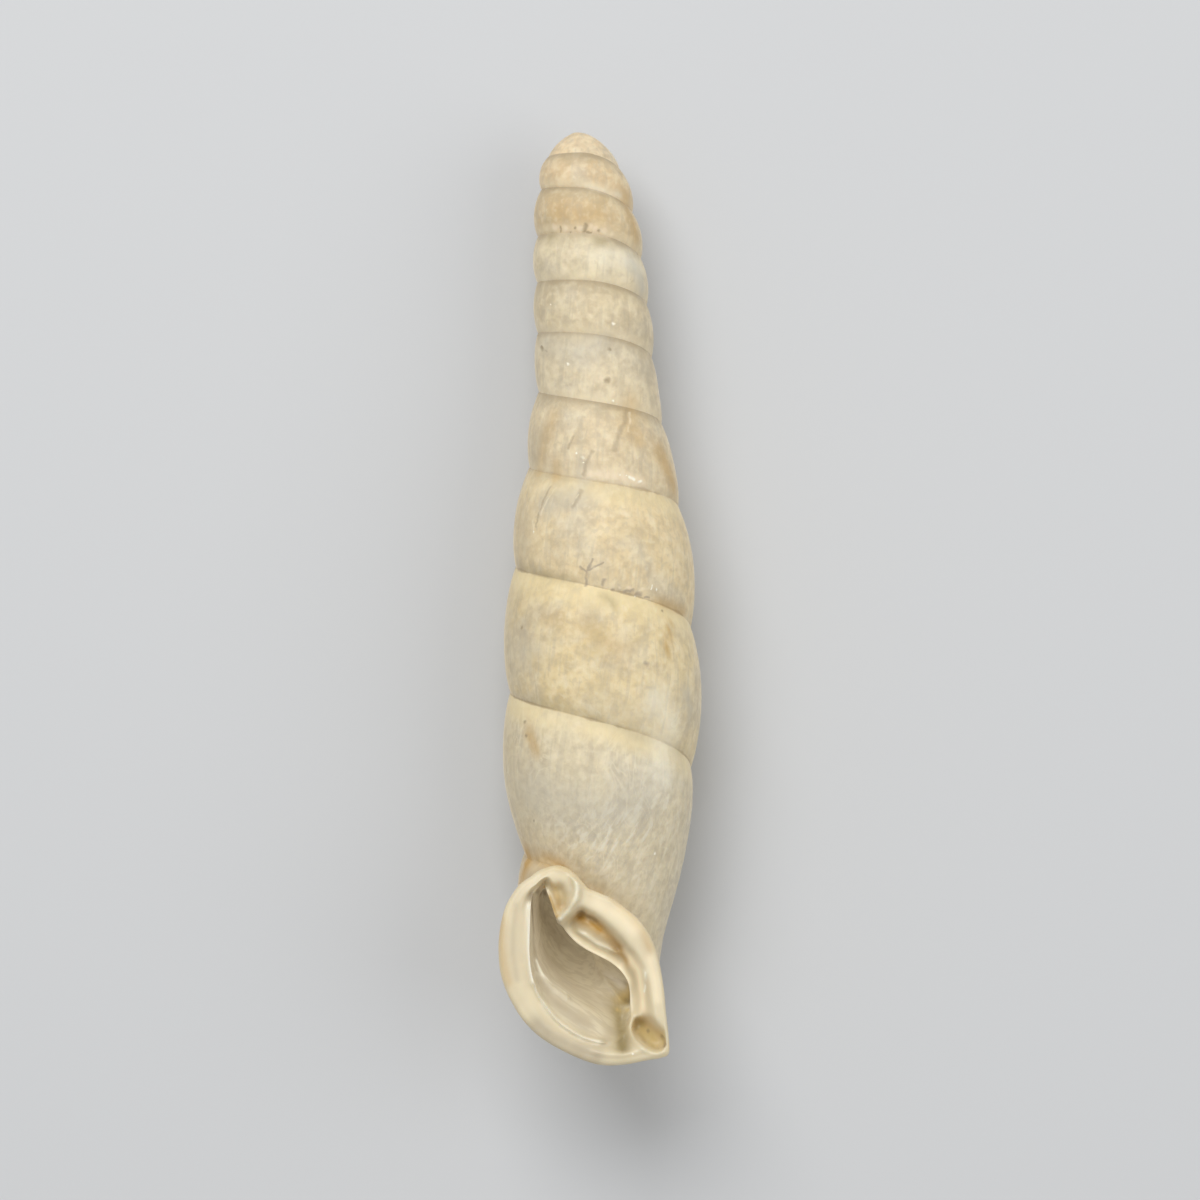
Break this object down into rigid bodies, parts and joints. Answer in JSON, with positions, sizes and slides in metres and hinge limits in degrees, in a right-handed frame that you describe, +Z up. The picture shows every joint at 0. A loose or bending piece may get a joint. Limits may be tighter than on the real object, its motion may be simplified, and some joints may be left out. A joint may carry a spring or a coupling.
{
  "type": "door snail shell",
  "caption": "Slender left-coiled door snail shell lying on its back, with swollen whorls and a free, flared mouth with a tooth and folds.",
  "frame": {"origin": "middle of the shell's outline, on the ground that it rests on", "axes": "+Y along the spire to its tip, +Z up out of the mouth, +X to the right seen from above with the tip away"},
  "size_m": [0.0048, 0.022, 0.0047],
  "materials": {
    "shell": "cream to ivory shell, silky with a glossy lip"
  },
  "bodies": {
    "root": {"shell": "shell"}
  },
  "joints": []
}
